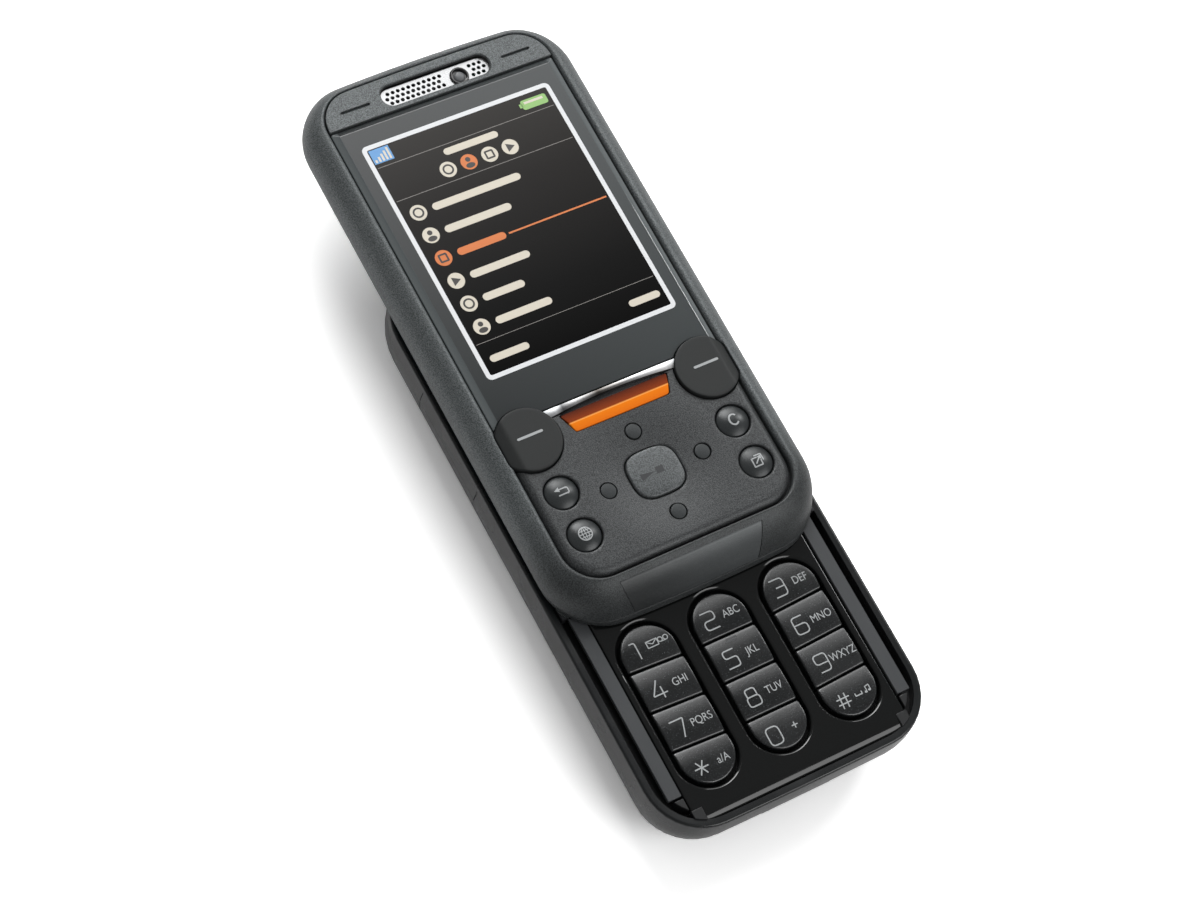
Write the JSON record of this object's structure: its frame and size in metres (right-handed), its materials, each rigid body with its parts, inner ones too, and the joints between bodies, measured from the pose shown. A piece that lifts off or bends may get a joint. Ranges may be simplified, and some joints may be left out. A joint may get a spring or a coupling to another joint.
{
  "type": "slider phone",
  "caption": "Slider phone shown open: a screen half with face keys slides on rails over a lower half with a number keypad, side buttons and a card door.",
  "frame": {"origin": "on the flat back face, under the middle of the open phone", "axes": "+X to the right seen from the front, +Y towards the top end with the earpiece, +Z out of the face"},
  "size_m": [0.0474, 0.128, 0.021],
  "materials": {
    "housing_plastic": "dark grey painted plastic, semi-matt",
    "grey_paint": "dark grey paint with a fine metallic grain",
    "black_gloss": "glossy black plastic",
    "window_glass": "clear dark-tinted window",
    "rail_metal": "satin grey metal",
    "steel": "stamped steel",
    "board": "green circuit board",
    "dome_metal": "dome foil",
    "ribbon": "amber ribbon cable",
    "antenna_metal": "plated plastic carrier",
    "battery_case": "wrapped battery",
    "black_plastic": "black plastic",
    "lens_black": "glossy lens barrel",
    "screen": "display behind the window",
    "grille_metal": "bright perforated metal",
    "chrome": "bright chrome",
    "smooth_key": "smooth dark keys",
    "orange_key": "translucent orange",
    "grey_key": "lighter grey key with a fine grain",
    "dot_key": "light dots",
    "side_key": "dark side buttons",
    "number_key": "satin dark number keys"
  },
  "bodies": {
    "lower_half": {"rear_housing": "housing_plastic", "battery_cover": "housing_plastic", "keypad_plate": "black_gloss", "slide_rails": "rail_metal", "main_board": "board", "shield_cans": "steel", "dome_sheet": "dome_metal", "battery": "battery_case", "sim_holder": "steel", "card_socket": "steel", "memory_card": "black_plastic", "rear_camera": "black_plastic", "camera_window": "window_glass", "loudspeaker": "black_plastic", "vibration_motor": "steel", "antenna": "antenna_metal", "system_connector": "steel", "housing_screws": "steel", "flex_cable": "ribbon"},
    "upper_half": {"slide_carriage": "steel", "slider_rear_cover": "housing_plastic", "front_shell": "grey_paint", "end_inlay": "black_gloss", "top_cap": "grey_paint", "speaker_grille": "grille_metal", "earpiece": "black_plastic", "front_camera": "lens_black", "display_window": "window_glass", "display_module": "screen", "nav_plate": "grey_paint", "chrome_strip": "chrome", "slider_board": "board"},
    "card_door": {"card_door": "housing_plastic"},
    "key_1": {"key_1": "number_key"},
    "key_2": {"key_2": "number_key"},
    "key_3": {"key_3": "number_key"},
    "key_4": {"key_4": "number_key"},
    "key_5": {"key_5": "number_key"},
    "key_6": {"key_6": "number_key"},
    "key_7": {"key_7": "number_key"},
    "key_8": {"key_8": "number_key"},
    "key_9": {"key_9": "number_key"},
    "key_star": {"key_star": "number_key"},
    "key_0": {"key_0": "number_key"},
    "key_hash": {"key_hash": "number_key"},
    "left_soft_key": {"left_soft_key": "smooth_key"},
    "right_soft_key": {"right_soft_key": "smooth_key"},
    "player_key": {"player_key": "orange_key"},
    "back_key": {"back_key": "smooth_key"},
    "clear_key": {"clear_key": "smooth_key"},
    "web_key": {"web_key": "smooth_key"},
    "menu_key": {"menu_key": "smooth_key"},
    "centre_key": {"centre_key": "grey_key"},
    "nav_up": {"nav_up": "dot_key"},
    "nav_down": {"nav_down": "dot_key"},
    "nav_left": {"nav_left": "dot_key"},
    "nav_right": {"nav_right": "dot_key"},
    "volume_rocker": {"volume_rocker": "side_key"},
    "camera_key": {"camera_key": "side_key"},
    "power_key": {"power_key": "side_key"}
  },
  "joints": [
    {"name": "slide", "type": "slide", "parent": "lower_half", "child": "upper_half", "axis": [0, -1, 0], "range_m": [0, 0.03], "deforming": ["flex_cable"]},
    {"name": "key_1_press", "type": "slide", "parent": "lower_half", "child": "key_1", "axis": [0, 0, -1], "range_m": [0, 0.0003], "stiffness_N_per_m": 5000},
    {"name": "key_2_press", "type": "slide", "parent": "lower_half", "child": "key_2", "axis": [0, 0, -1], "range_m": [0, 0.0003], "stiffness_N_per_m": 5000},
    {"name": "key_3_press", "type": "slide", "parent": "lower_half", "child": "key_3", "axis": [0, 0, -1], "range_m": [0, 0.0003], "stiffness_N_per_m": 5000},
    {"name": "key_4_press", "type": "slide", "parent": "lower_half", "child": "key_4", "axis": [0, 0, -1], "range_m": [0, 0.0003], "stiffness_N_per_m": 5000},
    {"name": "key_5_press", "type": "slide", "parent": "lower_half", "child": "key_5", "axis": [0, 0, -1], "range_m": [0, 0.0003], "stiffness_N_per_m": 5000},
    {"name": "key_6_press", "type": "slide", "parent": "lower_half", "child": "key_6", "axis": [0, 0, -1], "range_m": [0, 0.0003], "stiffness_N_per_m": 5000},
    {"name": "key_7_press", "type": "slide", "parent": "lower_half", "child": "key_7", "axis": [0, 0, -1], "range_m": [0, 0.0003], "stiffness_N_per_m": 5000},
    {"name": "key_8_press", "type": "slide", "parent": "lower_half", "child": "key_8", "axis": [0, 0, -1], "range_m": [0, 0.0003], "stiffness_N_per_m": 5000},
    {"name": "key_9_press", "type": "slide", "parent": "lower_half", "child": "key_9", "axis": [0, 0, -1], "range_m": [0, 0.0003], "stiffness_N_per_m": 5000},
    {"name": "key_star_press", "type": "slide", "parent": "lower_half", "child": "key_star", "axis": [0, 0, -1], "range_m": [0, 0.0003], "stiffness_N_per_m": 5000},
    {"name": "key_0_press", "type": "slide", "parent": "lower_half", "child": "key_0", "axis": [0, 0, -1], "range_m": [0, 0.0003], "stiffness_N_per_m": 5000},
    {"name": "key_hash_press", "type": "slide", "parent": "lower_half", "child": "key_hash", "axis": [0, 0, -1], "range_m": [0, 0.0003], "stiffness_N_per_m": 5000},
    {"name": "left_soft_key_press", "type": "slide", "parent": "upper_half", "child": "left_soft_key", "axis": [0, 0, -1], "range_m": [0, 0.0003], "stiffness_N_per_m": 5000},
    {"name": "right_soft_key_press", "type": "slide", "parent": "upper_half", "child": "right_soft_key", "axis": [0, 0, -1], "range_m": [0, 0.0003], "stiffness_N_per_m": 5000},
    {"name": "player_key_press", "type": "slide", "parent": "upper_half", "child": "player_key", "axis": [0, 0, -1], "range_m": [0, 0.0003], "stiffness_N_per_m": 5000},
    {"name": "back_key_press", "type": "slide", "parent": "upper_half", "child": "back_key", "axis": [0, 0, -1], "range_m": [0, 0.0003], "stiffness_N_per_m": 5000},
    {"name": "clear_key_press", "type": "slide", "parent": "upper_half", "child": "clear_key", "axis": [0, 0, -1], "range_m": [0, 0.0003], "stiffness_N_per_m": 5000},
    {"name": "web_key_press", "type": "slide", "parent": "upper_half", "child": "web_key", "axis": [0, 0, -1], "range_m": [0, 0.0003], "stiffness_N_per_m": 5000},
    {"name": "menu_key_press", "type": "slide", "parent": "upper_half", "child": "menu_key", "axis": [0, 0, -1], "range_m": [0, 0.0003], "stiffness_N_per_m": 5000},
    {"name": "centre_key_press", "type": "slide", "parent": "upper_half", "child": "centre_key", "axis": [0, 0, -1], "range_m": [0, 0.0003], "stiffness_N_per_m": 5000},
    {"name": "nav_up_press", "type": "slide", "parent": "upper_half", "child": "nav_up", "axis": [0, 0, -1], "range_m": [0, 0.0003], "stiffness_N_per_m": 5000},
    {"name": "nav_down_press", "type": "slide", "parent": "upper_half", "child": "nav_down", "axis": [0, 0, -1], "range_m": [0, 0.0003], "stiffness_N_per_m": 5000},
    {"name": "nav_left_press", "type": "slide", "parent": "upper_half", "child": "nav_left", "axis": [0, 0, -1], "range_m": [0, 0.0003], "stiffness_N_per_m": 5000},
    {"name": "nav_right_press", "type": "slide", "parent": "upper_half", "child": "nav_right", "axis": [0, 0, -1], "range_m": [0, 0.0003], "stiffness_N_per_m": 5000},
    {"name": "camera_key_press", "type": "slide", "parent": "lower_half", "child": "camera_key", "axis": [-1, 0, 0], "range_m": [0, 0.0003], "stiffness_N_per_m": 5000},
    {"name": "power_key_press", "type": "slide", "parent": "lower_half", "child": "power_key", "axis": [0, -1, 0], "range_m": [0, 0.0003], "stiffness_N_per_m": 5000},
    {"name": "volume_rocker_tilt", "type": "hinge", "parent": "lower_half", "child": "volume_rocker", "pos_m": [0.0217, 0.011, 0.0075], "axis": [0, 0, 1], "range_deg": [-2, 2], "stiffness_Nm_per_rad": 0.4},
    {"name": "card_door_hinge", "type": "hinge", "parent": "lower_half", "child": "card_door", "pos_m": [-0.02247, 0.0053, 0.0059], "axis": [0, -1, 0], "range_deg": [0, 85]}
  ]
}
